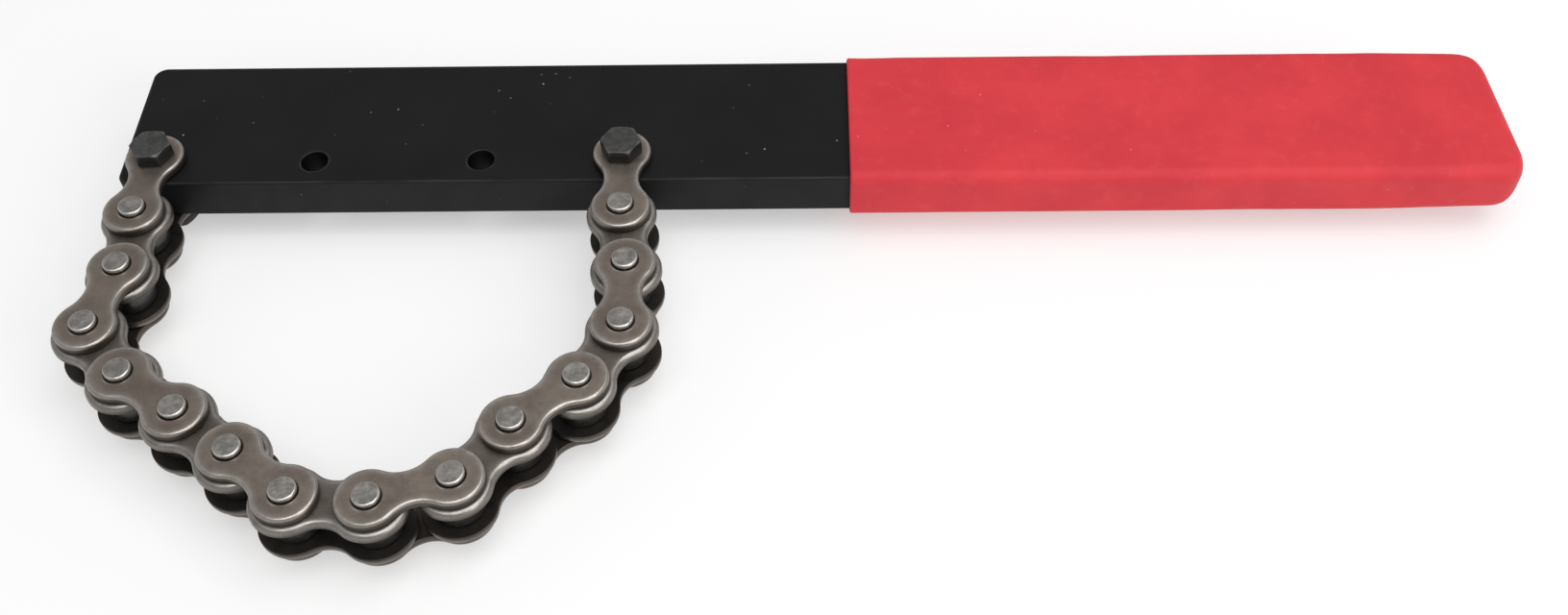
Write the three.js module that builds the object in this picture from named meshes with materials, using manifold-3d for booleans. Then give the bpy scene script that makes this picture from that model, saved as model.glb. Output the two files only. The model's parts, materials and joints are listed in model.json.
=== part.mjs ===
// Chain-type oil filter wrench: a flat steel bar with a soft grip at one end, and at the other
// a roller chain whose two end links are bolted through the bar. The chain, the bar's edge and
// the two bolts close a loop that goes round the filter.
//
// Frame, in millimetres: the origin is on the bar's edge that bears on the filter, midway between
// the two chain bolts and halfway through the bar's thickness. +X runs along the bar to the grip,
// +Y goes across the bar away from the chain, and +Z points up, the way the bolt heads face.
//
// The chain is a 5/8 inch pitch roller chain: outer links (two plates and their pins) alternate
// with inner links (two plates on two bushings), and a roller turns freely on each bushing.

import * as THREE from "three";
import { mergeVertices } from "three/addons/utils/BufferGeometryUtils.js";
import Module from "manifold-3d";

// ---------------------------------------------------------------- driving dimensions, mm

const BAR = { length: 305, width: 37, thickness: 10, corner: 3 };
const LEFT_END_TO_BOLT = 7.7; // from the bar's free end to the first chain bolt
const EDGE_TO_HOLES = 6.5; // from the bearing edge to the row of holes
const BOLT_SPAN = 103.5; // between the two chain bolts
const SPARE_HOLES = [35, 72]; // the two open holes, from the first chain bolt
const BAR_HOLE_RADIUS = 2.95;
const BEARING_HALF = 43; // half the stretch of edge, between the end links, that the filter rests on

const GRIP = { length: 146.5, wall: 1.1, endWall: 2.5, gap: 0.3, corner: 6.5, edge: 2.6, slant: 1.8 };

const PITCH = 15.875;
const LINK_COUNT = 15;
const OUTER_PLATE = { head: 6.4, waist: 3.8, thickness: 2.03, inside: 5.5 };
const INNER_PLATE = { head: 7.55, waist: 5.0, thickness: 2.0, inside: 3.175 };
const PIN = { radius: 2.54, halfLength: 8.75, chamfer: 0.5 };
const BORE_RADIUS = 2.65; // the hole for a pin or a chain bolt, in plates and bushings
const BUSHING_RADIUS = 3.5;
const ROLLER = { radius: 5.08, bore: 3.6, play: 0.3 };

const BOLT = { radius: 2.5, acrossFlats: 8, headHeight: 3.2, play: 0.3, chamfer: 0.5, beyondNut: 1.2 };
const NUT = { height: 4, clearance: 0.1 };
const BOLT_TURNS = { left: 2.5, right: -3.5 }; // degrees by which the tightened hexagons stand askew
const HEX_CHAMFER = 0.58; // slope of the chamfer on hexagon corners, about 30 degrees

// Directions of the links from the left bolt round the loop, in degrees from +X. The last two
// links have no entry: they are worked out so that the chain ends on the right bolt.
const LINK_HEADINGS = [-93, -87, -100, -50, -34.5, -36.5, -38, -4.5, 17, 51.5, 41.5, 61, 90.5];

const ROUND_SIDES = 16; // sides of pins, bores, bushings, rollers, holes and shanks
const PLATE_HEAD_STEPS = 10; // segments round one plate head
const PLATE_WAIST_STEPS = 4; // segments along one waist
const CORNER_STEPS = 4;
const BEVEL_STEPS = 3; // segments round the grip's long edges
const OVERRUN = 1; // how far a cutter or a joined piece runs past the face it meets
const MERGE_DISTANCE = 1e-4; // vertices closer than this are one

const COLOURS = {
  barPaint: { color: 0x232322, roughness: 0.45, metalness: 0.1 },
  gripVinyl: { color: 0xda464b, roughness: 0.6, metalness: 0 },
  plateSteel: { color: 0x73685f, roughness: 0.4, metalness: 0.8 },
  rollerSteel: { color: 0x4a4743, roughness: 0.35, metalness: 0.85 },
  pinSteel: { color: 0x87857d, roughness: 0.35, metalness: 0.85 },
  boltBlack: { color: 0x4b4b48, roughness: 0.5, metalness: 0.6 },
};

// ---------------------------------------------------------------- solids: joining and cutting

const wasm = await Module();
wasm.setup();

function solid(geometry) {
  const bare = geometry.index ? geometry.toNonIndexed() : geometry.clone();
  for (const name of Object.keys(bare.attributes)) {
    if (name !== "position") bare.deleteAttribute(name);
  }
  const merged = mergeVertices(bare, MERGE_DISTANCE);
  const vertProperties = new Float32Array(merged.attributes.position.array);
  const triVerts = new Uint32Array(merged.index.array);
  return new wasm.Manifold(new wasm.Mesh({ numProp: 3, vertProperties, triVerts }));
}

function geometryOf(manifold) {
  const { vertProperties, triVerts } = manifold.getMesh();
  const geometry = new THREE.BufferGeometry();
  geometry.setAttribute("position", new THREE.BufferAttribute(vertProperties, 3));
  geometry.setIndex(new THREE.BufferAttribute(triVerts, 1));
  geometry.computeVertexNormals();
  return geometry;
}

// The corner radius of a regular polygon whose flats stand at this distance from its centre.
const cornerRadius = (flat, sides) => flat / Math.cos(Math.PI / sides);

function prism(shape, bottom, top) {
  const geometry = new THREE.ExtrudeGeometry(shape, {
    depth: top - bottom,
    bevelEnabled: false,
    curveSegments: CORNER_STEPS,
  });
  return geometry.translate(0, 0, bottom);
}

// A regular polygon in the XY plane, as a shape or as a hole in one.
function polygon(radius, sides, x = 0, y = 0, Kind = THREE.Shape) {
  const corners = Array.from({ length: sides }, (_, i) => {
    const angle = (2 * Math.PI * i) / sides;
    return new THREE.Vector2(x + radius * Math.cos(angle), y + radius * Math.sin(angle));
  });
  return new Kind(corners);
}

// A hole whose flats are at the given radius, so that a round piece of that radius turns in it.
function boreHole(radius, x, y) {
  return polygon(cornerRadius(radius, ROUND_SIDES), ROUND_SIDES, x, y, THREE.Path);
}

// A turned piece: the profile is [radius, height] from bottom to top, and its axis is Z.
function turned(profile) {
  const points = profile.map(([radius, height]) => new THREE.Vector2(radius, height));
  return new THREE.LatheGeometry(points, ROUND_SIDES).rotateX(Math.PI / 2);
}

// ---------------------------------------------------------------- bar and grip

const barLeft = -BOLT_SPAN / 2 - LEFT_END_TO_BOLT;
const barRight = barLeft + BAR.length;
const barTop = BAR.thickness / 2;
const leftBolt = new THREE.Vector2(-BOLT_SPAN / 2, EDGE_TO_HOLES);
const rightBolt = new THREE.Vector2(BOLT_SPAN / 2, EDGE_TO_HOLES);

// The corners of a rectangle, anticlockwise. Its right end can slant, and its low side can be
// parted at some places along X, so that each stretch is a face of its own.
function rectangle(left, right, low, high, slant = 0, parts = []) {
  return [
    new THREE.Vector2(left, low),
    ...parts.map((x) => new THREE.Vector2(x, low)),
    new THREE.Vector2(right + slant, low),
    new THREE.Vector2(right, high),
    new THREE.Vector2(left, high),
  ];
}

// A convex outline through these corners, each rounded where the outline turns.
function roundedOutline(corners, radius) {
  const normals = corners.map((corner, i) => {
    const along = corners[(i + 1) % corners.length].clone().sub(corner).normalize();
    return new THREE.Vector2(along.y, -along.x);
  });
  const outline = new THREE.Shape();
  corners.forEach((corner, i) => {
    const before = normals.at(i - 1);
    const after = normals[i];
    if (before.equals(after)) {
      outline.lineTo(corner.x, corner.y);
      return;
    }
    const outward = before.clone().add(after).multiplyScalar(radius / (1 + before.dot(after)));
    const centre = corner.clone().sub(outward);
    outline.absarc(centre.x, centre.y, radius, before.angle(), after.angle());
  });
  return outline;
}

function barGeometry() {
  const parts = [-BEARING_HALF, BEARING_HALF];
  const outline = roundedOutline(rectangle(barLeft, barRight, 0, BAR.width, 0, parts), BAR.corner);
  const holes = [0, ...SPARE_HOLES, BOLT_SPAN];
  for (const along of holes) {
    outline.holes.push(boreHole(BAR_HOLE_RADIUS, leftBolt.x + along, EDGE_TO_HOLES));
  }
  return prism(outline, -barTop, barTop);
}

// A sleeve closed at the bar's end and open towards the chain, with rounded long edges. It is
// pushed on a little askew, so its closed end slants.
function gripGeometry() {
  const around = GRIP.gap + GRIP.wall;
  const right = barRight + GRIP.gap + GRIP.endWall;
  const open = right - GRIP.length;
  const inset = GRIP.edge;
  const low = -around + inset;
  const high = BAR.width + around - inset;
  const corners = rectangle(open - 2 * GRIP.corner, right - inset, low, high, GRIP.slant);
  const core = roundedOutline(corners, GRIP.corner - inset);
  const halfHeight = barTop + around;
  const outer = new THREE.ExtrudeGeometry(core, {
    depth: 2 * (halfHeight - inset),
    bevelThickness: inset,
    bevelSize: inset,
    bevelSegments: BEVEL_STEPS,
    curveSegments: CORNER_STEPS,
  }).translate(0, 0, inset - halfHeight);
  const reach = BAR.width; // how far the cutter for the open end reaches past the sleeve
  const beyond = roundedOutline(rectangle(open - reach, open, -reach, BAR.width + reach), GRIP.corner);
  const pocket = rectangle(open - GRIP.corner, barRight + GRIP.gap, -GRIP.gap, BAR.width + GRIP.gap);
  const hollow = prism(roundedOutline(pocket, BAR.corner), -barTop - GRIP.gap, barTop + GRIP.gap);
  return geometryOf(solid(outer).subtract(solid(prism(beyond, -reach, reach))).subtract(solid(hollow)));
}

// ---------------------------------------------------------------- bolts and nuts

// A hexagonal prism along Z, one flat towards -Y, with the corners of one or both ends chamfered:
// a cone that starts at the flats cuts them back.
function hexagon(bottom, top, ends) {
  const flat = BOLT.acrossFlats / 2;
  const corner = cornerRadius(flat, 6);
  const clear = corner + OVERRUN;
  const drop = HEX_CHAMFER * (clear - flat);
  const low = ends === "both" ? [[flat, bottom], [clear, bottom + drop]] : [[clear, bottom]];
  const profile = [[0, bottom], ...low, [clear, top - drop], [flat, top], [0, top]];
  return solid(prism(polygon(corner, 6), bottom, top)).intersect(solid(turned(profile)));
}

const plateOutside = OUTER_PLATE.inside + OUTER_PLATE.thickness;
const headBase = plateOutside + BOLT.play;
const nutTop = -plateOutside - BOLT.play;
const nutBase = nutTop - NUT.height;

function boltGeometry() {
  const tip = nutBase - BOLT.beyondNut;
  const shank = turned([
    [0, tip],
    [BOLT.radius - BOLT.chamfer, tip],
    [BOLT.radius, tip + BOLT.chamfer],
    [BOLT.radius, headBase + OVERRUN],
    [0, headBase + OVERRUN],
  ]);
  return geometryOf(hexagon(headBase, headBase + BOLT.headHeight, "top").add(solid(shank)));
}

function nutGeometry() {
  const bore = polygon(cornerRadius(BOLT.radius + NUT.clearance, ROUND_SIDES), ROUND_SIDES);
  const cutter = prism(bore, nutBase - OVERRUN, nutTop + OVERRUN);
  return geometryOf(hexagon(nutBase, nutTop, "both").subtract(solid(cutter)));
}

// ---------------------------------------------------------------- chain pieces

// Points along an arc, leaving out its first point.
function arcPoints(x, y, radius, from, to, steps) {
  return Array.from({ length: steps }, (_, i) => {
    const angle = from + ((to - from) * (i + 1)) / steps;
    return new THREE.Vector2(x + radius * Math.cos(angle), y + radius * Math.sin(angle));
  });
}

// The outline of a link plate: two round heads on the pins, joined by two hollow waists.
// Each waist is an arc that touches both heads, which fixes its radius.
function plateOutline({ head, waist }) {
  const half = PITCH / 2;
  const arc = (half * half + waist * waist - head * head) / (2 * (head - waist));
  const touch = Math.atan2(waist + arc, half); // from a head's centre towards the waist arc's
  return new THREE.Shape([
    ...arcPoints(0, 0, head, touch, 2 * Math.PI - touch, PLATE_HEAD_STEPS),
    ...arcPoints(half, -waist - arc, arc, Math.PI - touch, touch, PLATE_WAIST_STEPS),
    ...arcPoints(PITCH, 0, head, touch - Math.PI, Math.PI - touch, PLATE_HEAD_STEPS),
    ...arcPoints(half, waist + arc, arc, -touch, touch - Math.PI, PLATE_WAIST_STEPS),
  ]);
}

// The plates stand on the two pins of a link: the first at the link's origin, the second one
// pitch along its X axis.
function outerPlateGeometry(side) {
  const outline = plateOutline(OUTER_PLATE);
  outline.holes.push(boreHole(BORE_RADIUS, 0, 0), boreHole(BORE_RADIUS, PITCH, 0));
  const near = side * OUTER_PLATE.inside;
  const far = side * plateOutside;
  return prism(outline, Math.min(near, far), Math.max(near, far));
}

// An inner link: its two plates and the two bushings pressed into them.
function innerFrameGeometry() {
  const outline = plateOutline(INNER_PLATE);
  const outside = INNER_PLATE.inside + INNER_PLATE.thickness;
  const inside = INNER_PLATE.inside;
  let frame = solid(prism(outline, inside, outside)).add(solid(prism(outline, -outside, -inside)));
  for (const x of [0, PITCH]) {
    const bushing = prism(polygon(BUSHING_RADIUS, ROUND_SIDES, x), -inside - OVERRUN, inside + OVERRUN);
    const bore = polygon(cornerRadius(BORE_RADIUS, ROUND_SIDES), ROUND_SIDES, x);
    const cutter = prism(bore, -outside - OVERRUN, outside + OVERRUN);
    frame = frame.add(solid(bushing)).subtract(solid(cutter));
  }
  return geometryOf(frame);
}

function pinGeometry() {
  const { radius, halfLength, chamfer } = PIN;
  return turned([
    [0, -halfLength],
    [radius - chamfer, -halfLength],
    [radius, chamfer - halfLength],
    [radius, halfLength - chamfer],
    [radius - chamfer, halfLength],
    [0, halfLength],
  ]);
}

function rollerGeometry() {
  const high = INNER_PLATE.inside - ROLLER.play;
  const bore = cornerRadius(ROLLER.bore, ROUND_SIDES);
  return turned([
    [bore, -high],
    [ROLLER.radius, -high],
    [ROLLER.radius, high],
    [bore, high],
    [bore, -high],
  ]);
}

// ---------------------------------------------------------------- the chain's shape at rest

// Where the link pivots lie, from the left bolt to the right bolt.
function pivots() {
  const points = [leftBolt.clone()];
  for (const heading of LINK_HEADINGS) {
    const angle = THREE.MathUtils.degToRad(heading);
    const step = new THREE.Vector2(Math.cos(angle), Math.sin(angle)).multiplyScalar(PITCH);
    points.push(points.at(-1).clone().add(step));
  }
  const last = points.at(-1);
  const gap = rightBolt.clone().sub(last);
  const reach = Math.sqrt(PITCH * PITCH - gap.lengthSq() / 4);
  const aside = new THREE.Vector2(-gap.y, gap.x).normalize().multiplyScalar(reach);
  points.push(last.clone().addScaledVector(gap, 0.5).add(aside), rightBolt.clone());
  return points;
}

// ---------------------------------------------------------------- assembly

const materials = Object.fromEntries(
  Object.entries(COLOURS).map(([name, finish]) => [name, new THREE.MeshStandardMaterial(finish)]),
);

function piece(name, geometry, material) {
  const mesh = new THREE.Mesh(geometry, materials[material].clone());
  mesh.name = name;
  return mesh;
}

const wrench = new THREE.Group();
wrench.add(piece("flat_bar", barGeometry(), "barPaint"));
wrench.add(piece("grip_sleeve", gripGeometry(), "gripVinyl"));

const bolt = boltGeometry();
const nut = nutGeometry();
for (const [side, at] of [["left", leftBolt], ["right", rightBolt]]) {
  for (const [kind, geometry] of [["bolt", bolt], ["nut", nut]]) {
    const mesh = piece(`${side}_chain_${kind}`, geometry, "boltBlack");
    mesh.position.set(at.x, at.y, 0);
    mesh.rotation.z = THREE.MathUtils.degToRad(BOLT_TURNS[side]);
    wrench.add(mesh);
  }
}

const upperPlate = outerPlateGeometry(1);
const lowerPlate = outerPlateGeometry(-1);
const innerFrame = innerFrameGeometry();
const pin = pinGeometry();
const roller = rollerGeometry();

// Links 1, 3, 5 ... are outer links, and 2, 4, 6 ... inner links. Pin n stands at pivot n.
const points = pivots();
for (let n = 1; n <= LINK_COUNT; n += 1) {
  const from = points[n - 1];
  const to = points[n];
  const label = String(n).padStart(2, "0");
  const link = new THREE.Group();
  link.position.set(from.x, from.y, 0);
  link.rotation.z = Math.atan2(to.y - from.y, to.x - from.x);
  const outer = n % 2 === 1;
  if (outer) {
    link.add(piece(`link_${label}_upper_plate`, upperPlate, "plateSteel"));
    link.add(piece(`link_${label}_lower_plate`, lowerPlate, "plateSteel"));
  } else {
    link.add(piece(`link_${label}_inner_frame`, innerFrame, "plateSteel"));
  }
  for (const [pivot, x] of [[n - 1, 0], [n, PITCH]]) {
    if (pivot < 1 || pivot >= LINK_COUNT) continue;
    const mark = String(pivot).padStart(2, "0");
    const [kind, geometry, material] = outer ? ["pin", pin, "pinSteel"] : ["roller", roller, "rollerSteel"];
    const mesh = piece(`${kind}_${mark}`, geometry, material);
    mesh.position.x = x;
    link.add(mesh);
  }
  wrench.add(link);
}

export default wrench;
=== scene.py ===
"""The looks of the chain oil filter wrench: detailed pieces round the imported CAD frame, in metres."""

import json
import math

import bmesh
import bpy
from mathutils import Matrix, Vector, noise
from mathutils.geometry import tessellate_polygon


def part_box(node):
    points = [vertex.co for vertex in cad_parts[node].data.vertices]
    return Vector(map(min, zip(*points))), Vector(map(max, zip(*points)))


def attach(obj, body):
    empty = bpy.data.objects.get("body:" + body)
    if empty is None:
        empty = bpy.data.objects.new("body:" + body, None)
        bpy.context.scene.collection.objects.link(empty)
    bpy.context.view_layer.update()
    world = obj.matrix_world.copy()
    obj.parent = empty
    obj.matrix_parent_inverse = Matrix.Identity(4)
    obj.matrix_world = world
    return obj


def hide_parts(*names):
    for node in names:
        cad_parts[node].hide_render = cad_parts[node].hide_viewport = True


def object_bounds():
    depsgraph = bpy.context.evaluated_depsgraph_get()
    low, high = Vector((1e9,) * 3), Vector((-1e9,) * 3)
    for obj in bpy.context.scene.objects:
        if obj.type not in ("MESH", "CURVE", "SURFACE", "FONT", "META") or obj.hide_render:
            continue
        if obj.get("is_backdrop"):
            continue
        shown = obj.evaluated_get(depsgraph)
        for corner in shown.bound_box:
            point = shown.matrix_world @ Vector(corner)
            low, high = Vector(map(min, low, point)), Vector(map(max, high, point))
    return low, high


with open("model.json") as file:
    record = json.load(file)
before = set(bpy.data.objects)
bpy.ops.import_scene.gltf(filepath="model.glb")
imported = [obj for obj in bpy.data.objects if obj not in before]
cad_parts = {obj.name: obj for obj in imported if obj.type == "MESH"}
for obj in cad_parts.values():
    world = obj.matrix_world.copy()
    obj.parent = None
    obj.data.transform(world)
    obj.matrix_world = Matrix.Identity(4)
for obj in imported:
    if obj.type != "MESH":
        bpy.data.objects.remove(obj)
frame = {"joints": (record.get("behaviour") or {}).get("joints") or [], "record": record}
CAD_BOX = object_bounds()

# ------------------------------------------------------------------ dimensions

MM = 0.001
LINKS = 15
ROUND = 48  # points round a pin, roller, bore or shank

OUTER_PLATE = {"head": 6.4 * MM, "waist": 3.8 * MM}
INNER_PLATE = {"head": 7.55 * MM, "waist": 5.0 * MM}
PLATE_THICKNESS = 2.0 * MM
OUTER_SHOULDER = 0.6 * MM  # the rounded edge on an outer plate's outer face
INNER_SHOULDER = 0.95 * MM  # the same on an inner plate, which the outer plates rub over
PLATE_ARRIS = 0.22 * MM  # the smaller one on its inner face
PLATE_FADE = 1.3 * MM  # how far polish from wear reaches in from the shoulder
PIN_RADIUS = 2.54 * MM
PLATE_BORE = 2.65 * MM
PLATE_BORE_LEAD = 0.4 * MM  # the countersink on a plate's outer face
PLATE_BORE_LIP = 0.07 * MM  # the burr round the countersink
PLATE_BORE_BREAK = 0.12 * MM  # the broken edge on its inner face
LIP_GLINT_PLACES = [(math.radians(-127), 0.3, 1.0), (math.radians(-52), 0.2, 0.6)]  # angle in the world, width, share: where the burr is heavy and keeps its polish as a painted glint
PIN_SWELL = 0.2 * MM  # how much the riveting spreads a pin's ends
PIN_RIM = 0.38 * MM  # the rounding round a pin's face
BUSHING_RADIUS = 3.5 * MM
ROLLER_RADIUS = 5.08 * MM
ROLLER_BORE = 3.6 * MM

BAR_CORNER = 3.0 * MM
BAR_ARRIS = 0.4 * MM
BAR_BORE = 2.95 * MM
BAR_BORE_LEAD = 0.15 * MM
BAR_HOLES = [0.0, 35.0 * MM, 72.0 * MM, 103.5 * MM]  # from the first bolt

GRIP_GAP = 0.3 * MM
GRIP_PLAN_CORNER = 6.5 * MM  # seen from above, at the closed end
GRIP_EDGE = 2.6 * MM  # along the sleeve
GRIP_END_EDGE = 3.8 * MM  # the long edges grow rounder towards the closed end
GRIP_LIP = 0.5 * MM
GRIP_SLANT = 1.8 * MM  # the closed end is not quite square
GRIP_SLANT_REACH = 25 * MM
GRIP_SWELLS = [(55, 0.28 * MM), (190, 0.05 * MM)]  # the surface's unevenness: waves per metre, depth
GRIP_CALM = 4 * MM  # from each end, where the unevenness fades out
GRIP_MOUTH = 0.4 * MM  # how far in the pocket's flare starts
GRIP_FLARE = 0.25 * MM
GRIP_POCKET_EDGE = 0.8 * MM
GRIP_BODY_STEPS = 90
GRIP_CLOSE_STEPS = 22
GRIP_LIP_STEPS = 5

BOLT_FLAT = 4.0 * MM  # from the axis to a flat
BOLT_RADIUS = 2.5 * MM
THREAD_PITCH = 0.8 * MM
THREAD_DEPTH = 0.38 * MM
THREAD_TOP = -4.0 * MM
BOLT_TURNS = {"left": math.radians(2.5), "right": math.radians(-3.5)}


def middle(node):
    low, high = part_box(node)
    return (low + high) / 2


def flat_point(vector):
    return Vector((vector.x, vector.y, 0.0))


HINGES = {joint["child"]: Vector(joint["pos_m"]) for joint in frame["joints"]}
PIVOTS = [HINGES[f"link_{n:02d}"] for n in range(1, LINKS + 1)] + [flat_point(middle("right_chain_bolt"))]
PITCH = (PIVOTS[1] - PIVOTS[0]).length

# ------------------------------------------------------------------ closed shells from rings


class Shell:
    """Closed surfaces made of rings of points. Each point is rubbed and shaded by 0 to 1: rubbed where
    handling polishes it, and shaded with painted shade inside bores and on the sides of hexagons, where the
    surface is made to look darker from the light."""

    def __init__(self):
        self.points = []
        self.faces = []
        self.wear = []
        self.painted_shade = []

    def ring(self, points, wear=0.0, painted_shade=0.0):
        start = len(self.points)
        self.points.extend(Vector(p) for p in points)
        count = len(self.points) - start
        self.wear.extend([wear] * count)
        self.painted_shade.extend([painted_shade] * count)
        return list(range(start, len(self.points)))

    def loft(self, rings):
        for low, high in zip(rings, rings[1:]):
            for i in range(len(low)):
                j = (i + 1) % len(low)
                self.faces.append((low[i], low[j], high[j], high[i]))

    def cap(self, outer, holes=()):
        loops = [outer, *holes]
        order = [index for loop in loops for index in loop]
        corners = [[self.points[index] for index in loop] for loop in loops]
        for triangle in tessellate_polygon(corners):
            self.faces.append(tuple(order[i] for i in triangle))

    def mesh(self, name):
        bm = bmesh.new()
        made = [bm.verts.new(p) for p in self.points]
        for face in self.faces:
            bm.faces.new([made[i] for i in face])
        bmesh.ops.recalc_face_normals(bm, faces=bm.faces)
        for face in bm.faces:
            face.smooth = True
        mesh = bpy.data.meshes.new(name)
        bm.to_mesh(mesh)
        bm.free()
        mesh.attributes.new("wear", "FLOAT", "POINT").data.foreach_set("value", self.wear)
        mesh.attributes.new("painted_shade", "FLOAT", "POINT").data.foreach_set("value", self.painted_shade)
        local = mesh.attributes.new("local", "FLOAT_VECTOR", "POINT")
        local.data.foreach_set("vector", [x for p in self.points for x in p])
        return mesh


def circle(radius, height, centre=(0.0, 0.0), sides=ROUND):
    angles = [2 * math.pi * i / sides for i in range(sides)]
    return [(centre[0] + radius * math.cos(a), centre[1] + radius * math.sin(a), height) for a in angles]


def edge_profile(low, high, low_round, high_round, fade, steps=7):
    """(inset, height, wear) up a rounded edge, from inside the bottom face to inside the top one."""
    support = 0.06 * MM
    rise = []
    for radius, face, up in ((low_round, low, 1), (high_round, high, -1)):
        quarter = [(0.0, face + up * radius * 1.5, 0.0)]
        for i in range(steps + 1):
            turn = math.pi / 2 * i / steps
            rubbed = math.sin(turn) ** 1.6
            quarter.append((radius * (1 - math.cos(turn)), face + up * radius * (1 - math.sin(turn)), rubbed))
        quarter.append((radius + support, face, 0.7))
        quarter.append((radius + fade * 0.4, face, 0.22))
        quarter.append((radius + fade, face, 0.0))
        rise += quarter[::-1] if up == 1 else quarter
    return rise


def bore_profile(low, high, low_lead, high_lead, low_lip=0.0, high_lip=0.0):
    """(inset, height, wear, painted shade) up a bore with a conical lead-in of these widths at each end;
    painted shade darkens the bore's wall. A lip is the height of the burr that the punch has raised round it."""
    rise = []
    for lead, face, up, lip in ((low_lead, low, 1, low_lip), (high_lead, high, -1, high_lip)):
        end = [
            (0.0, face + up * lead * 1.3, 0.0, 1.0),
            (0.0, face + up * lead * 0.9, 0.0, 1.0),
            (lead * 0.15, face + up * lead * 0.6, 0.2, 0.85),
            (lead * 0.8, face + up * lead * 0.1, 0.6, 0.2),
            (lead, face - up * lip * 0.7, 1.0, 0.0),
            (lead + 0.09 * MM, face - up * lip, 1.0, 0.0),
            (lead + 0.2 * MM, face - up * lip * 0.6, 0.9, 0.0),
            (lead + 0.3 * MM, face - up * lip * 0.1, 0.5, 0.0),
            (lead + 0.36 * MM, face, 0.2, 0.0),
            (lead + 0.5 * MM, face, 0.0, 0.0),
        ]
        rise += end[::-1] if up == 1 else end
    return rise


def slab(shell, outline, edge, bores, bore_edge):
    """A plate with rounded edges: outline is [(point, outward normal)], and bores [(x, y, radius)]."""
    rings = []
    for inset, height, wear in edge:
        points = [(*(p - normal * inset), height) for p, normal in outline]
        rings.append(shell.ring(points, wear))
    shell.loft(rings)
    holes = []
    for x, y, radius in bores:
        hole = []
        for inset, height, wear, painted_shade in bore_edge:
            hole.append(shell.ring(circle(radius + inset, height, (x, y)), wear, painted_shade))
        shell.loft(hole)
        holes.append(hole)
    for end in (0, -1):
        shell.cap(rings[end], [hole[end] for hole in holes])


def turned(shell, profile, sides=ROUND, centre=(0.0, 0.0), closed=False):
    """A turned shape from (radius, height, wear) points, capped at both ends or closed on itself."""
    rings = [shell.ring(circle(radius, height, centre, sides), wear) for radius, height, wear in profile]
    shell.loft(rings + rings[:1] if closed else rings)
    if not closed:
        shell.cap(rings[0])
        shell.cap(rings[-1])
    return rings


def arc(centre, radius, start, end, steps, outward=1):
    """[(point, outward normal)] along an arc, leaving out its first point."""
    found = []
    for i in range(1, steps + 1):
        angle = start + (end - start) * i / steps
        direction = Vector((math.cos(angle), math.sin(angle)))
        found.append((Vector(centre) + direction * radius, direction * outward))
    return found


def plate_outline(head, waist):
    """Two round heads one pitch apart, joined by two hollow waists that touch them."""
    half = PITCH / 2
    hollow = (half * half + waist * waist - head * head) / (2 * (head - waist))
    touch = math.atan2(waist + hollow, half)
    return [
        *arc((0, 0), head, touch, 2 * math.pi - touch, 34),
        *arc((half, -waist - hollow), hollow, math.pi - touch, touch, 12, -1),
        *arc((PITCH, 0), head, touch - math.pi, math.pi - touch, 34),
        *arc((half, waist + hollow), hollow, -touch, touch - math.pi, 12, -1),
    ]


def rounded_rectangle(left, right, low, high, radius, steps=8):
    outline = []
    for x, y, quarter in ((right, low, 3), (right, high, 0), (left, high, 1), (left, low, 2)):
        start = quarter * math.pi / 2
        centre = (x - radius if x == right else x + radius, y + radius if y == low else y - radius)
        first = Vector((math.cos(start), math.sin(start)))
        outline.append((Vector(centre) + first * radius, first))
        outline += arc(centre, radius, start, start + math.pi / 2, steps)
    return outline


# ------------------------------------------------------------------ materials


class Look:
    """A material's node tree. Each call adds a node and returns its output socket."""

    def __init__(self, name):
        self.material = bpy.data.materials.new(name)
        self.material.use_nodes = True
        self.nodes = self.material.node_tree.nodes
        self.links = self.material.node_tree.links
        self.shader = self.nodes["Principled BSDF"]
        self.place = self.add("ShaderNodeTexCoord", "Object")

    def put(self, socket, value):
        if isinstance(value, bpy.types.NodeSocket):
            self.links.new(value, socket)
        else:
            socket.default_value = value

    def add(self, kind, output=0, inputs=None, **settings):
        node = self.nodes.new(kind)
        for name, value in settings.items():
            setattr(node, name, value)
        for name, value in (inputs or {}).items():
            self.put(node.inputs[name], value)
        return node.outputs[output]

    def noise(self, size, detail=3.0, roughness=0.5, place=None, stretch=None):
        """Noise whose features are about this size, in metres."""
        where = place or self.place
        if stretch:
            where = self.add("ShaderNodeMapping", 0, {"Vector": where, "Scale": stretch})
        inputs = {"Vector": where, "Scale": 1 / size, "Detail": detail, "Roughness": roughness}
        return self.add("ShaderNodeTexNoise", "Fac", inputs)

    def span(self, value, low, high, to_low=0.0, to_high=1.0):
        inputs = {"Value": value, "From Min": low, "From Max": high, "To Min": to_low, "To Max": to_high}
        return self.add("ShaderNodeMapRange", 0, inputs, interpolation_type="SMOOTHSTEP")

    def math(self, operation, a, b=0.0):
        return self.add("ShaderNodeMath", 0, {0: a, 1: b}, operation=operation)

    def mix(self, factor, a, b):
        return self.add("ShaderNodeMix", 2, {0: factor, 6: a, 7: b}, data_type="RGBA")

    def attribute(self, name, output="Fac"):
        return self.add("ShaderNodeAttribute", output, attribute_name=name)

    def specks(self, spacing, share, size):
        """Small round specks, one in some of the cells of this spacing. size is a share of a cell."""
        where = {"Vector": self.place, "Scale": 1 / spacing}
        distance = self.add("ShaderNodeTexVoronoi", "Distance", where)
        cell = self.add("ShaderNodeTexVoronoi", "Color", where)
        chosen = self.add("ShaderNodeSeparateColor", "Red", {0: cell})
        strength = self.span(chosen, share, 1.0)
        return self.math("MULTIPLY", self.span(distance, size * 1.6, size * 0.8), strength)

    def bump(self, height, strength, distance, normal=None):
        inputs = {"Height": height, "Strength": strength, "Distance": distance}
        if normal:
            inputs["Normal"] = normal
        return self.add("ShaderNodeBump", 0, inputs)

    def finish(self, **sockets):
        for name, value in sockets.items():
            self.put(self.shader.inputs[name.replace("_", " ")], value)
        return self.material


def colour(red, green, blue):
    return (red, green, blue, 1.0)


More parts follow.
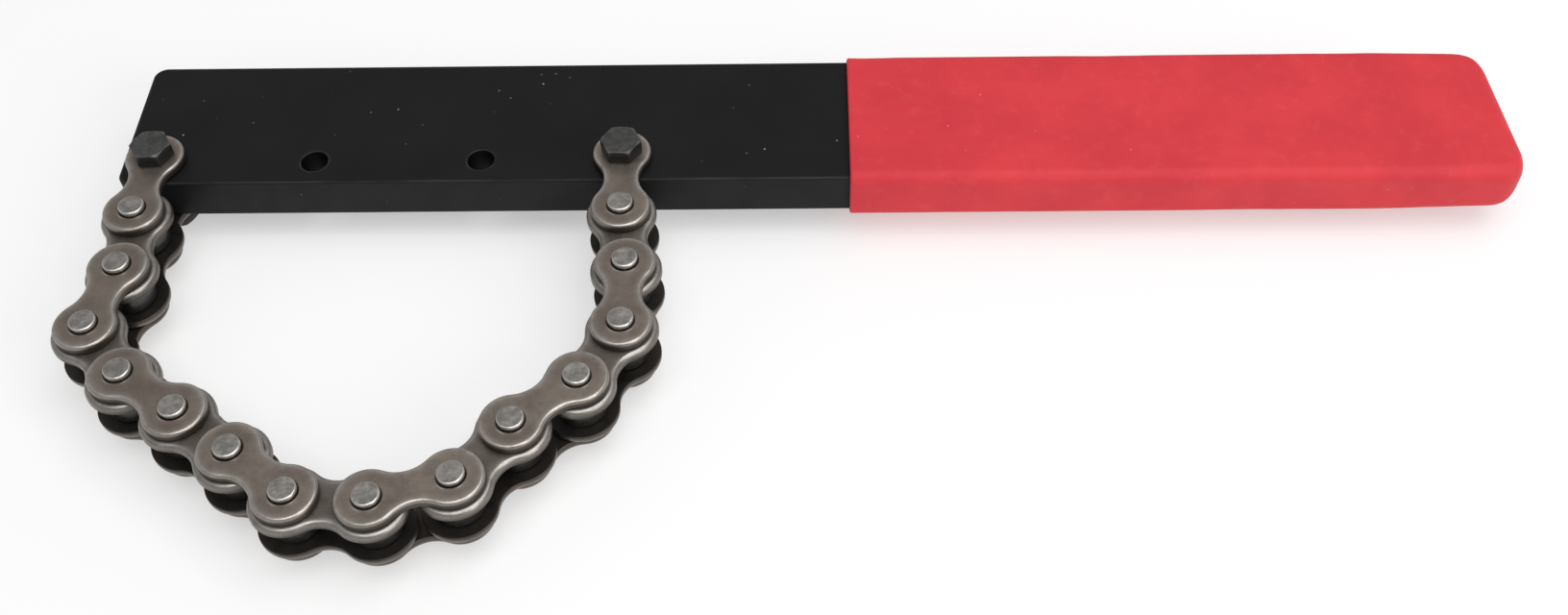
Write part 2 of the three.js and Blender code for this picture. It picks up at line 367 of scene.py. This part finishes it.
def plate_steel(name, outer_face, lit, light, dark, polish):
    """Burnished brown-grey plate steel: mottled, with painted shade round the pins, down its walls, over its
    inner side and in its bores, polished along its edges. outer_face is the height of the plate's outer face,
    and lit how far down from it the edge stays free of painted shade."""
    look = Look(name)
    cloud = look.noise(6 * MM, 3)
    grain = look.noise(0.3 * MM, 2)
    base = look.mix(look.span(cloud, 0.32, 0.68), dark, light)
    base = look.mix(look.math("MULTIPLY", look.span(grain, 0.4, 0.75), 0.12), base, polish)
    tint = look.span(look.noise(11 * MM, 3, 0.6), 0.5, 0.68, 0.0, 0.35)
    base = look.mix(tint, base, colour(0.2, 0.148, 0.128))
    local = look.attribute("local", "Vector")
    near = None
    for x in (0.0, PITCH):
        flat = look.add("ShaderNodeVectorMath", 0, {0: local, 1: (1.0, 1.0, 0.0)}, operation="MULTIPLY")
        gap = look.add("ShaderNodeVectorMath", "Value", {0: flat, 1: (x, 0.0, 0.0)}, operation="DISTANCE")
        near = look.math("MINIMUM", near, gap) if near else gap
    # painted shade round each pin, darkening the plate where the pin meets it
    pin_shade = look.span(near, PIN_RADIUS * 1.4, PIN_RADIUS * 1.08)
    base = look.mix(look.math("MULTIPLY", pin_shade, 0.5), base, dark)
    height = look.math("ABSOLUTE", look.add("ShaderNodeSeparateXYZ", "Z", {0: local}))
    # painted shade: darker from a little under the outer face down the walls and over the inner face, where
    # little light reaches
    below = look.span(height, outer_face - lit * 0.5, outer_face - lit * 1.6)
    wear = look.math("MULTIPLY", look.attribute("wear"), look.math("SUBTRACT", 1.0, below))
    rub = look.span(look.noise(2.2 * MM, 4, 0.55), 0.2, 0.62, 0.35, 1.0)
    bright = look.math("MULTIPLY", look.math("MULTIPLY", wear, rub), 0.7)
    base = look.mix(bright, base, polish)
    # painted shade from the walls, the inner face and the bores, mixed towards near-black
    painted_shade_amount = look.math("MAXIMUM", look.math("MULTIPLY", below, 0.82), look.attribute("painted_shade"))
    base = look.mix(painted_shade_amount, base, colour(0.035, 0.031, 0.027))
    rough = look.span(look.noise(1.4 * MM, 3), 0.3, 0.7, 0.36, 0.46)
    rough = look.math("SUBTRACT", rough, look.math("MULTIPLY", bright, 0.12))
    normal = look.bump(look.noise(0.5 * MM, 4, 0.6), 0.2, 0.04 * MM)
    normal = look.bump(look.noise(5 * MM, 2), 0.2, 0.2 * MM, normal)
    return look.finish(Base_Color=base, Metallic=0.85, Roughness=rough, Normal=normal)


def pin_steel():
    """Pin ends flattened by the riveting: bright, mottled grey, with a few darker patches."""
    look = Look("pin_steel")
    cloud = look.noise(1.6 * MM, 5, 0.62)
    base = look.mix(look.span(cloud, 0.36, 0.66), colour(0.255, 0.24, 0.22), colour(0.44, 0.42, 0.395))
    wear = look.attribute("wear")
    base = look.mix(look.math("MULTIPLY", wear, 0.75), base, colour(0.82, 0.8, 0.76))
    rough = look.span(look.noise(0.9 * MM, 4), 0.3, 0.7, 0.3, 0.44)
    normal = look.bump(look.noise(1.5 * MM, 3), 0.5, 0.12 * MM)
    normal = look.bump(look.noise(0.25 * MM, 3), 0.2, 0.03 * MM, normal)
    return look.finish(Base_Color=base, Metallic=0.9, Roughness=rough, Normal=normal)


def roller_steel():
    """Hardened rollers: dark and glossy, with fine rings from rolling."""
    look = Look("roller_steel")
    rings = look.noise(0.4 * MM, 3, stretch=(0.12, 0.12, 1.0))
    base = look.mix(look.span(rings, 0.3, 0.7), colour(0.06, 0.06, 0.06), colour(0.085, 0.085, 0.085))
    base = look.mix(look.math("MULTIPLY", look.attribute("wear"), 0.5), base, colour(0.36, 0.34, 0.31))
    rough = look.span(look.noise(2.5 * MM, 3), 0.3, 0.7, 0.2, 0.34)
    normal = look.bump(rings, 0.04, 0.02 * MM)
    return look.finish(Base_Color=base, Metallic=0.9, Roughness=rough, Normal=normal)


def bolt_black():
    """Black oxide on the bolts and nuts, thin at the corners, with a few pale scratches, and painted shade on
    their sides.
    """
    look = Look("bolt_black")
    cloud = look.noise(4 * MM, 3)
    base = look.mix(look.span(cloud, 0.35, 0.7), colour(0.05, 0.05, 0.048), colour(0.072, 0.071, 0.068))
    scratch = look.noise(0.7 * MM, 2, stretch=(1.0, 0.12, 1.0))
    marks = look.span(scratch, 0.68, 0.74, 0.0, 0.25)
    base = look.mix(marks, base, colour(0.3, 0.29, 0.27))
    rub = look.span(look.noise(1.5 * MM, 3), 0.4, 0.65)
    edge = look.math("MULTIPLY", look.math("MULTIPLY", look.attribute("wear"), rub), 0.35)
    base = look.mix(edge, base, colour(0.3, 0.29, 0.27))
    # painted shade: the hexagons' sides go near-black
    base = look.mix(look.math("MULTIPLY", look.attribute("painted_shade"), 0.85), base, colour(0.004, 0.004, 0.005))
    rough = look.span(cloud, 0.3, 0.7, 0.4, 0.5)
    normal = look.bump(look.noise(0.4 * MM, 3, 0.5), 0.15, 0.04 * MM)
    return look.finish(Base_Color=base, Metallic=0.5, Roughness=rough, Normal=normal)


def bar_paint():
    """Black satin paint: faint orange peel, dust specks, edges rubbed thin, and painted shade inside the
    bores.
    """
    look = Look("bar_paint")
    cloud = look.noise(18 * MM, 3)
    dull, bare = colour(0.0066, 0.0066, 0.0066), colour(0.0084, 0.0084, 0.0082)
    base = look.mix(look.span(cloud, 0.3, 0.7), dull, bare)
    dust = look.math("MULTIPLY", look.specks(3.2 * MM, 0.55, 0.055), 0.8)
    base = look.mix(dust, base, colour(0.4, 0.38, 0.34))
    streak = look.span(look.noise(4 * MM, 4, 0.6, stretch=(0.2, 1.0, 1.0)), 0.35, 0.66, 0.05, 1.0)
    rub = look.math("MULTIPLY", look.math("MULTIPLY", look.attribute("wear"), streak), 0.14)
    base = look.mix(rub, base, colour(0.2, 0.195, 0.18))
    # painted shade: the bores' walls go near-black
    base = look.mix(look.attribute("painted_shade"), base, colour(0.002, 0.002, 0.002))
    rough = look.span(look.noise(7 * MM, 4), 0.3, 0.7, 0.44, 0.54)
    normal = look.bump(look.noise(1.4 * MM, 2), 0.14, 0.1 * MM)
    normal = look.bump(look.noise(0.25 * MM, 3), 0.12, 0.02 * MM, normal)
    return look.finish(Base_Color=base, Roughness=rough, Normal=normal, Specular_IOR_Level=0.18)


def grip_vinyl():
    """Soft red vinyl: matte, faintly mottled and chalky where hands rub it, with a few pale specks."""
    look = Look("grip_vinyl")
    cloud = look.noise(16 * MM, 4, 0.55)
    base = look.mix(look.span(cloud, 0.28, 0.72), colour(0.6, 0.037, 0.05), colour(0.68, 0.046, 0.056))
    chalk = look.span(look.noise(3 * MM, 5, 0.6), 0.5, 0.8)
    worn = look.math("ADD", look.math("MULTIPLY", look.attribute("wear"), 0.3), 0.1)
    base = look.mix(look.math("MULTIPLY", chalk, worn), base, colour(0.78, 0.13, 0.14))
    lint = look.math("MULTIPLY", look.specks(4 * MM, 0.6, 0.045), 0.5)
    base = look.mix(lint, base, colour(0.85, 0.3, 0.3))
    rough = look.span(look.noise(5 * MM, 4), 0.3, 0.7, 0.52, 0.62)
    normal = look.bump(look.noise(0.5 * MM, 4, 0.6), 0.3, 0.06 * MM)
    normal = look.bump(look.noise(5 * MM, 3), 0.3, 0.3 * MM, normal)
    return look.finish(Base_Color=base, Roughness=rough, Normal=normal, Specular_IOR_Level=0.22)


MATERIALS = {
    "bar_paint": bar_paint(),
    "grip_vinyl": grip_vinyl(),
    "outer_plate": plate_steel(
        "outer_plate_steel",
        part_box("link_01_upper_plate")[1].z,
        0.7 * MM,
        colour(0.275, 0.229, 0.193),
        colour(0.208, 0.171, 0.143),
        colour(0.62, 0.59, 0.555),
    ),
    "inner_plate": plate_steel(
        "inner_plate_steel",
        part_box("link_02_inner_frame")[1].z,
        1.25 * MM,
        colour(0.195, 0.168, 0.145),
        colour(0.14, 0.12, 0.103),
        colour(0.52, 0.5, 0.47),
    ),
    "roller_steel": roller_steel(),
    "pin_steel": pin_steel(),
    "bolt_black": bolt_black(),
}

# ------------------------------------------------------------------ placing pieces

BODY_OF = {node: body for body, nodes in frame["record"]["behaviour"]["bodies"].items() for node in nodes}


def place(mesh, node, material, where=None):
    """Puts a detailed mesh in the place of a CAD node. Its points are kept in the row frame."""
    mesh = mesh.copy()
    mesh.name = f"{node}_surface"
    if where:
        mesh.transform(where)
    mesh.materials.append(MATERIALS[material])
    piece = bpy.data.objects.new(f"{node}_surface", mesh)
    bpy.context.scene.collection.objects.link(piece)
    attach(piece, BODY_OF[node])
    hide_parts(node)
    return piece


# ------------------------------------------------------------------ bar and grip


def build_bar():
    low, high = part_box("flat_bar")
    row = PIVOTS[0].y
    bores = [(PIVOTS[0].x + along, row, BAR_BORE) for along in BAR_HOLES]
    shell = Shell()
    outline = rounded_rectangle(low.x, high.x, low.y, high.y, BAR_CORNER)
    edge = edge_profile(low.z, high.z, BAR_ARRIS, BAR_ARRIS, 0.5 * MM)
    bore_edge = bore_profile(low.z, high.z, BAR_BORE_LEAD, BAR_BORE_LEAD)
    slab(shell, outline, edge, bores, bore_edge)
    place(shell.mesh("flat_bar"), "flat_bar", "bar_paint")


def grip_section(half_width, half_height, radius, x, centre_y, steps=10, sides=24):
    """A rounded rectangle across the sleeve, with points along its flats too."""
    radius = min(radius, half_height * 0.98, half_width * 0.98)
    points = []
    corners = [(1, 1), (-1, 1), (-1, -1), (1, -1)]
    for index, (across, up) in enumerate(corners):
        start = index * math.pi / 2
        cy = across * (half_width - radius)
        cz = up * (half_height - radius)
        for i in range(steps + 1):
            angle = start + math.pi / 2 * i / steps
            points.append((cy + radius * math.cos(angle), cz + radius * math.sin(angle)))
        next_across, next_up = corners[(index + 1) % 4]
        end = start + math.pi / 2
        ay, az = points[-1]
        by = next_across * (half_width - radius) + radius * math.cos(end)
        bz = next_up * (half_height - radius) + radius * math.sin(end)
        count = sides if index % 2 == 0 else 6
        for i in range(1, count):
            points.append((ay + (by - ay) * i / count, az + (bz - az) * i / count))
    return [(x, centre_y + y, z) for y, z in points]


def drawn_in(distance, radius):
    """How far a corner of this radius has drawn in, this far before its end."""
    if distance >= radius:
        return 0.0
    return radius - math.sqrt(max(0.0, radius * radius - (radius - distance) ** 2))


def build_grip():
    low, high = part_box("grip_sleeve")
    bar_low, bar_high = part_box("flat_bar")
    centre_y = (low.y + high.y) / 2
    half_width = (high.y - low.y) / 2
    half_height = (high.z - low.z) / 2
    end = high.x - GRIP_SLANT * (1 - GRIP_PLAN_CORNER / (high.y - low.y))
    shell = Shell()

    def outside(x, wear=0.0):
        before_end = end - x
        after_start = x - low.x
        lip = drawn_in(after_start, GRIP_LIP)
        wide = half_width - drawn_in(before_end, GRIP_PLAN_CORNER) - lip
        near_end = max(0.0, 1 - before_end / GRIP_SLANT_REACH)
        edge = GRIP_EDGE + (GRIP_END_EDGE - GRIP_EDGE) * near_end
        tall = half_height - drawn_in(before_end, edge) - lip
        points = []
        for p in grip_section(wide, tall, edge, x, centre_y):
            at = Vector(p)
            ease = min(1.0, after_start / GRIP_CALM, before_end / GRIP_CALM)
            swell = sum(noise.noise(at * waves) * depth for waves, depth in GRIP_SWELLS)
            outward = Vector((0, at.y - centre_y, at.z))
            inward = -min(0.0, swell) * ease if ease > 0 else 0.0
            shrink = 1 - inward / max(half_height, abs(outward.y), abs(outward.z))
            slant = GRIP_SLANT * near_end * (high.y - at.y) / (high.y - low.y)
            points.append((at.x + slant, centre_y + outward.y * shrink, outward.z * shrink))
        return shell.ring(points, wear)

    quarter = math.pi / 2
    ends = [GRIP_LIP * (1 - math.cos(quarter * i / GRIP_LIP_STEPS)) for i in range(GRIP_LIP_STEPS + 1)]
    length = end - low.x
    first = GRIP_LIP + GRIP_MOUTH
    straight = length - GRIP_PLAN_CORNER - first
    body = [first + straight * i / GRIP_BODY_STEPS for i in range(GRIP_BODY_STEPS + 1)]
    turns = [quarter * i / GRIP_CLOSE_STEPS for i in range(1, GRIP_CLOSE_STEPS + 1)]
    close = [length - GRIP_PLAN_CORNER * (1 - math.sin(turn)) for turn in turns]
    along_all = ends + body + close
    rings = [outside(low.x + along, 0.8 if along < GRIP_LIP else 0.25) for along in along_all]
    inner_wide = (bar_high.y - bar_low.y) / 2 + GRIP_GAP
    inner_tall = (bar_high.z - bar_low.z) / 2 + GRIP_GAP
    inside = []
    deepest = bar_high.x + GRIP_GAP
    turn = BAR_CORNER + GRIP_GAP
    stations = []
    for i in range(8):
        deep = turn * (1 - math.cos(math.pi / 2 * i / 7))
        stations.append((deepest - deep, -drawn_in(deep, turn)))
    stations += [(low.x + GRIP_MOUTH, 0.0), (low.x, GRIP_FLARE)]
    for x, grow in stations:
        flare = max(0.0, grow)
        edge = GRIP_POCKET_EDGE + flare
        points = grip_section(inner_wide + grow, inner_tall + flare, edge, x, centre_y)
        inside.append(shell.ring(points, 0.3))
    shell.loft(inside + rings)
    shell.cap(inside[0])
    shell.cap(rings[-1])
    place(shell.mesh("grip_sleeve"), "grip_sleeve", "grip_vinyl")


# ------------------------------------------------------------------ bolts and nuts

HEX_CORNER_TURN = math.radians(2.2)


def hexagon_angles():
    """Angles round a hexagon, close together at its corners so that they come out slightly rounded."""
    angles = []
    for side in range(6):
        corner = side * math.pi / 3
        span = math.pi / 3 - 2 * HEX_CORNER_TURN
        angles += [corner - HEX_CORNER_TURN, corner, corner + HEX_CORNER_TURN]
        angles += [corner + HEX_CORNER_TURN + span * i / 8 for i in range(1, 8)]
    return sorted(angles)


def hexagon_radius(angle):
    turn = angle % (math.pi / 3) - math.pi / 6
    sharp = BOLT_FLAT / math.cos(turn)
    return min(sharp, BOLT_FLAT / math.cos(math.pi / 6 - HEX_CORNER_TURN) * 1.004)


def hexagon_rings(shell, low, high, low_chamfer):
    """The sides of a hexagonal head or nut with its corners chamfered on a 30 degree cone."""
    slope = math.tan(math.radians(30))
    land = BOLT_FLAT * 0.985
    angles = hexagon_angles()
    ease = 0.12 * MM

    def ring(height, inward, radius=None, wear=0.0, chamfer=0, painted_shade=0.0):
        points = []
        for a in angles:
            r = radius or hexagon_radius(a) - inward
            z = height - chamfer * (hexagon_radius(a) - land) * slope
            points.append((r * math.cos(a), r * math.sin(a), z))
        return shell.ring(points, wear, painted_shade)

    rings = []
    # the sixth argument of ring is painted shade: it darkens the hexagon's sides, fully at their middle
    if low_chamfer:
        rings += [ring(low, 0, land - ease, 0.2), ring(low, 0, land, 0.7)]
        rings += [ring(low, 0.03 * MM, None, 0.9, -1), ring(low + ease, 0, None, 0.5, -1, 0.4)]
    else:
        rings += [ring(low, ease, None, 0.2), ring(low + 0.02 * MM, 0.02 * MM, None, 0.4)]
        rings.append(ring(low + ease, 0, None, 0.0, 0, 1.0))
    rings.append(ring((low + high) / 2, 0, None, 0.0, 0, 1.0))
    rings += [ring(high - ease, 0, None, 0.3, 1, 0.7), ring(high, 0.03 * MM, None, 0.9, 1)]
    rings += [ring(high, 0, land, 0.7), ring(high, 0, land - ease, 0.3)]
    shell.loft(rings)
    return rings


def thread_ring(shell, z, fade=1.0):
    """One ring of a helical thread: the crest climbs one pitch for each turn."""
    points = []
    for i in range(ROUND):
        phase = (z / THREAD_PITCH - i / ROUND) % 1.0
        depth = (1 - abs(2 * phase - 1)) * THREAD_DEPTH * fade
        radius = BOLT_RADIUS - depth
        angle = 2 * math.pi * i / ROUND
        points.append((radius * math.cos(angle), radius * math.sin(angle), z))
    return shell.ring(points, 0.35)


def build_bolt(side, where):
    low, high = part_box(f"{side}_chain_bolt")
    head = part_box(f"link_{1 if side == 'left' else LINKS:02d}_upper_plate")[1].z + 0.3 * MM
    shell = Shell()
    rings = hexagon_rings(shell, head, high.z, False)
    shell.cap(rings[0])
    shell.cap(rings[-1])
    steps = int((THREAD_TOP - low.z) / (THREAD_PITCH / 8))
    shank = [shell.ring(circle(BOLT_RADIUS - 0.75 * MM, low.z), 0.6)]
    for i in range(1, steps):
        z = low.z + i * THREAD_PITCH / 8
        shank.append(thread_ring(shell, z, min(1.0, (THREAD_TOP - z) / THREAD_PITCH, 1.0)))
    shank.append(shell.ring(circle(BOLT_RADIUS, THREAD_TOP)))
    shank.append(shell.ring(circle(BOLT_RADIUS, head + 0.5 * MM)))
    shell.loft(shank)
    shell.cap(shank[0])
    shell.cap(shank[-1])
    place(shell.mesh(f"{side}_bolt"), f"{side}_chain_bolt", "bolt_black", where)


def build_nut(side, where):
    low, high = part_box(f"{side}_chain_nut")
    shell = Shell()
    rings = hexagon_rings(shell, low.z, high.z, True)
    bore = BOLT_RADIUS + 0.05 * MM
    lead = 0.35 * MM
    levels = [(bore + lead, low.z), (bore, low.z + lead), (bore, high.z - lead), (bore + lead, high.z)]
    hole = [shell.ring(circle(radius, z), 0.4) for radius, z in levels]
    shell.loft(hole)
    shell.cap(rings[0], [hole[0]])
    shell.cap(rings[-1], [hole[-1]])
    place(shell.mesh(f"{side}_nut"), f"{side}_chain_nut", "bolt_black", where)


# ------------------------------------------------------------------ chain


def link_turn(n):
    along = PIVOTS[n] - PIVOTS[n - 1]
    return math.atan2(along.y, along.x)


def link_place(n):
    return Matrix.Translation(PIVOTS[n - 1]) @ Matrix.Rotation(link_turn(n), 4, "Z")


def plate_shell(outline, low, high, outer_up, bore, shoulder):
    shell = Shell()
    low_round, high_round = (PLATE_ARRIS, shoulder) if outer_up else (shoulder, PLATE_ARRIS)
    edge = edge_profile(low, high, low_round, high_round, PLATE_FADE)
    if outer_up:
        bore_edge = bore_profile(low, high, PLATE_BORE_BREAK, PLATE_BORE_LEAD, 0.0, PLATE_BORE_LIP)
    else:
        bore_edge = bore_profile(low, high, PLATE_BORE_LEAD, PLATE_BORE_BREAK, PLATE_BORE_LIP, 0.0)
    slab(shell, outline, edge, [(0.0, 0.0, bore), (PITCH, 0.0, bore)], bore_edge)
    return shell


def lips_with_painted_glints(shell, n, face):
    """Makes the burr round each bore heavy in two places, and almost nothing elsewhere; its polish stays only
    there, as painted glints at the same angles in the world on every link.
    """
    turn = link_turn(n)
    for x in (0.0, PITCH):
        for index, point in enumerate(shell.points):
            across = Vector((point.x - x, point.y))
            if across.length > PLATE_BORE + PLATE_BORE_LEAD + 0.5 * MM or abs(point.z - face) > 0.1 * MM:
                continue
            angle = math.atan2(across.y, across.x) + turn
            heavy = 0.06
            for middle_angle, width, share in LIP_GLINT_PLACES:
                off = (angle - middle_angle + math.pi) % (2 * math.pi) - math.pi
                heavy += share * math.exp(-((off / width) ** 2))
            point.z = face + (point.z - face) * min(1.0, heavy)
            # painted glints: the lip's polish is kept only at the heavy places
            shell.wear[index] *= min(1.0, heavy)


def build_outer_link(n, outline):
    for side, up in (("upper", True), ("lower", False)):
        node = f"link_{n:02d}_{side}_plate"
        low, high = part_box(node)
        shell = plate_shell(outline, low.z, high.z, up, PLATE_BORE, OUTER_SHOULDER)
        lips_with_painted_glints(shell, n, high.z if up else low.z)
        place(shell.mesh(node), node, "outer_plate", link_place(n))


def build_inner_link(n, outline):
    node = f"link_{n:02d}_inner_frame"
    low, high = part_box(node)
    shell = Shell()
    upper = (high.z - PLATE_THICKNESS, high.z, True)
    lower = (low.z, low.z + PLATE_THICKNESS, False)
    for bottom, top, up in (upper, lower):
        plate = plate_shell(outline, bottom, top, up, BUSHING_RADIUS + 0.02 * MM, INNER_SHOULDER)
        start = len(shell.points)
        shell.points += plate.points
        shell.wear += plate.wear
        shell.painted_shade += plate.painted_shade
        shell.faces += [tuple(i + start for i in face) for face in plate.faces]
    end = high.z - 0.04 * MM
    for x in (0.0, PITCH):
        profile = [
            (PLATE_BORE, -end, 0.3),
            (BUSHING_RADIUS - 0.1 * MM, -end, 0.5),
            (BUSHING_RADIUS, -end + 0.1 * MM, 0.2),
            (BUSHING_RADIUS, end - 0.1 * MM, 0.2),
            (BUSHING_RADIUS - 0.1 * MM, end, 0.5),
            (PLATE_BORE, end, 0.3),
        ]
        turned(shell, profile, centre=(x, 0.0), closed=True)
    place(shell.mesh(node), node, "inner_plate", link_place(n))


def build_pin(n):
    """A chain pin, its ends peened: the rim swells a little, and the face is not quite flat."""
    node = f"pin_{n:02d}"
    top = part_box(node)[1].z
    rim = PIN_RIM
    plate_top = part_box("link_01_upper_plate")[1].z
    spread = PIN_RADIUS + PIN_SWELL
    half = [(PIN_RADIUS, 0.0, 0.0), (PIN_RADIUS, plate_top, 0.0), (spread, plate_top + 0.3 * MM, 0.1)]
    for i in range(1, 7):
        a = math.pi / 2 * i / 6
        half.append((spread - rim * (1 - math.cos(a)), top - rim * (1 - math.sin(a)), math.sin(2 * a)))
    half += [(spread * k, top - 0.01 * MM, 0.1) for k in (0.8, 0.62, 0.42, 0.2)]
    profile = [(r, -z, w) for r, z, w in reversed(half[1:])] + half[1:]
    shell = Shell()
    rings = turned(shell, profile)
    seed = Vector((n * 7.3, n * 3.1, 0.0))
    for ring in rings:
        for index in ring:
            p = shell.points[index]
            side = 1 if p.z > 0 else -1
            if abs(p.z) < top - 1.2 * rim:
                continue
            around = Vector((p.x, p.y, 0.0)).normalized()
            dent = noise.noise(Vector((p.x, p.y, 0.0)) / (1.3 * MM) + seed + Vector((0, 0, side * 5)))
            squash = noise.noise(around * 1.3 + seed)
            p.z -= side * abs(dent) * 0.1 * MM
            p.xy = p.xy * (1 - max(0.0, squash) * 0.05)
    place(shell.mesh(node), node, "pin_steel", Matrix.Translation(PIVOTS[n]))


def build_roller(n, mesh):
    place(mesh, f"roller_{n:02d}", "roller_steel", Matrix.Translation(PIVOTS[n]))


def roller_mesh():
    low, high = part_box("roller_01")
    ease = 0.28 * MM
    half = [(ROLLER_BORE + 0.1 * MM, high.z, 0.4), (ROLLER_RADIUS - ease - 0.05 * MM, high.z, 0.6)]
    for i in range(5):
        a = math.pi / 2 * (1 - i / 4)
        wear = 1.0 if 0 < i < 4 else 0.5
        half.append((ROLLER_RADIUS - ease * (1 - math.cos(a)), high.z - ease * (1 - math.sin(a)), wear))
    half.append((ROLLER_RADIUS, high.z - ease * 1.4, 0.1))
    profile = half + [(r, -z, w) for r, z, w in reversed(half)]
    profile += [(ROLLER_BORE, low.z + 0.1 * MM, 0.2), (ROLLER_BORE, high.z - 0.1 * MM, 0.2)]
    shell = Shell()
    turned(shell, profile, 64, closed=True)
    return shell.mesh("roller")


# ------------------------------------------------------------------ stage, light and camera


def build_stage():
    """A pale floor lit a little from below, like a light table, which keeps the shadows soft."""
    floor_z = CAD_BOX[0][2] - 0.05 * MM
    reach = 4.0
    corners = [(-reach, -reach), (reach, -reach), (reach, reach), (-reach, reach)]
    mesh = bpy.data.meshes.new("floor")
    mesh.from_pydata([(x, y, floor_z) for x, y in corners], [], [(0, 1, 2, 3)])
    floor = bpy.data.objects.new("floor", mesh)
    bpy.context.scene.collection.objects.link(floor)
    look = Look("floor_paint")
    white = colour(1.0, 1.0, 1.0)
    glow = {"Emission_Color": white, "Emission_Strength": 0.44}
    grey = colour(0.54, 0.54, 0.54)
    mesh.materials.append(look.finish(Base_Color=grey, Roughness=0.9, Specular_IOR_Level=0.1, **glow))
    floor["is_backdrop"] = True


def area_light(name, position, target, size, power):
    light = bpy.data.lights.new(name, "AREA")
    light.shape = "RECTANGLE"
    light.size, light.size_y = size
    light.energy = power
    lamp = bpy.data.objects.new(name, light)
    lamp.location = position
    lamp.rotation_euler = (Vector(target) - Vector(position)).to_track_quat("-Z", "Y").to_euler()
    bpy.context.scene.collection.objects.link(lamp)


def build_light():
    scene = bpy.context.scene
    scene.world = bpy.data.worlds.new("studio")
    scene.world.use_nodes = True
    background = scene.world.node_tree.nodes["Background"]
    background.inputs["Color"].default_value = colour(1.0, 1.0, 1.0)
    background.inputs["Strength"].default_value = 0.37
    centre = (0.08, 0.0, 0.0)
    area_light("overhead", (0.25, -0.2, 1.1), centre, (1.4, 0.9), 9.5)
    area_light("right_fill", (0.95, -0.75, 0.7), centre, (0.6, 0.6), 5.0)
    scene.view_settings.view_transform = "Standard"


def build_camera():
    yaw, pitch, roll = math.radians(-1.215), math.radians(51.24), math.radians(-1.388)
    position = Vector((0.0919, -0.2438, 0.2638))
    ahead = Vector((math.sin(yaw) * math.cos(pitch), math.cos(yaw) * math.cos(pitch), -math.sin(pitch)))
    level = Vector((math.cos(yaw), -math.sin(yaw), 0.0))
    above = level.cross(ahead)
    right = level * math.cos(roll) + above * math.sin(roll)
    up = above * math.cos(roll) - level * math.sin(roll)
    data = bpy.data.cameras.new("camera")
    data.lens = 37.25
    data.sensor_width = 36.0
    camera = bpy.data.objects.new("camera", data)
    axes = Matrix((right, up, -ahead)).transposed().to_4x4()
    camera.matrix_world = Matrix.Translation(position) @ axes
    bpy.context.scene.collection.objects.link(camera)
    bpy.context.scene.camera = camera


# ------------------------------------------------------------------ the wrench

build_camera()
build_light()
build_stage()
build_bar()
build_grip()
for side_name, pivot in (("left", PIVOTS[0]), ("right", PIVOTS[-1])):
    bolt_place = Matrix.Translation(pivot) @ Matrix.Rotation(BOLT_TURNS[side_name], 4, "Z")
    build_bolt(side_name, bolt_place)
    build_nut(side_name, bolt_place)

outer_outline = plate_outline(**OUTER_PLATE)
inner_outline = plate_outline(**INNER_PLATE)
for number in range(1, LINKS + 1):
    if number % 2:
        build_outer_link(number, outer_outline)
    else:
        build_inner_link(number, inner_outline)
shared_roller = roller_mesh()
for number in range(1, LINKS):
    build_pin(number)
    build_roller(number, shared_roller)

boxes = {"cad": CAD_BOX, "visual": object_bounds()}
{name: [list(corner) for corner in box] for name, box in boxes.items()}
